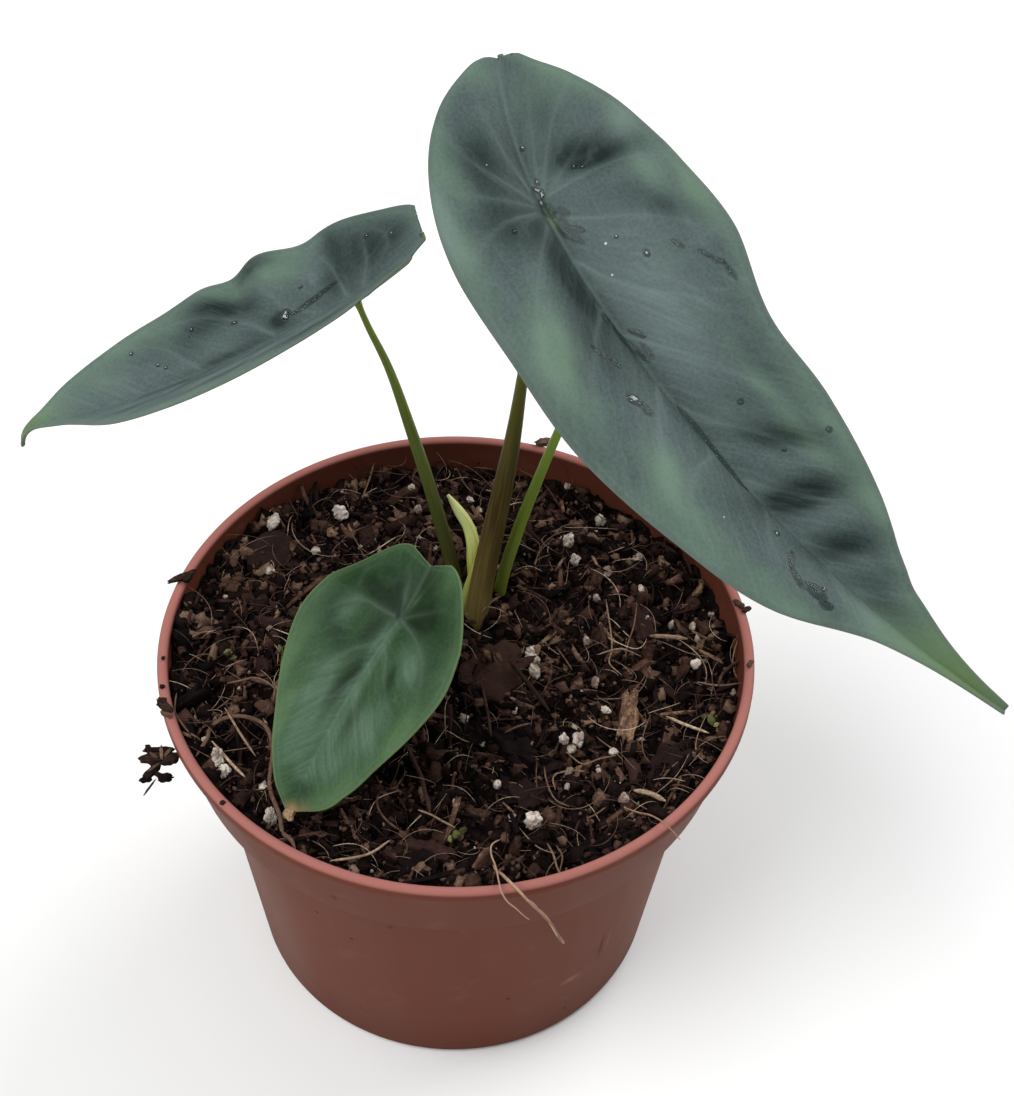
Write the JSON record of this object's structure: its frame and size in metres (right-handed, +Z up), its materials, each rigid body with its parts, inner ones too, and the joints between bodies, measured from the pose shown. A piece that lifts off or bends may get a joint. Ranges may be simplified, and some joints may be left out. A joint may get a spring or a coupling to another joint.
{
  "type": "potted venusta alocasia",
  "caption": "Young alocasia with long shield-shaped, slate-green leaves on slender stalks, growing in bark soil in a plain terracotta-coloured plastic nursery pot.",
  "frame": {"origin": "middle of the pot's flat underside, on the surface that the pot stands on", "axes": "+Z up along the pot's axis; -Y towards the side that the picture shows; +X to the right as seen from there, where the large leaf points"},
  "size_m": [0.1791, 0.1214, 0.1933],
  "materials": {
    "pot": "satin terracotta-coloured polypropylene",
    "soil": "damp bark, coir and perlite",
    "crown": "dull root skin",
    "blade_big": "satin slate green with a metallic sheen",
    "blade_left": "satin slate green with a metallic sheen",
    "blade_small": "satin mid green",
    "blade_back": "satin mid green",
    "stalk_big": "satin olive green",
    "stalk_left": "satin olive green",
    "stalk_small": "satin olive green",
    "stalk_back": "satin fresh green",
    "shoot": "satin yellow-green",
    "bark_scrap": "dull bark",
    "rim_fibre": "dull coir"
  },
  "bodies": {
    "root": {"pot": "pot", "soil": "soil", "crown": "crown", "blade_big": "blade_big", "blade_left": "blade_left", "blade_small": "blade_small", "blade_back": "blade_back", "stalk_big": "stalk_big", "stalk_left": "stalk_left", "stalk_small": "stalk_small", "stalk_back": "stalk_back", "shoot": "shoot", "bark_scrap": "bark_scrap", "rim_fibre": "rim_fibre"}
  },
  "joints": []
}
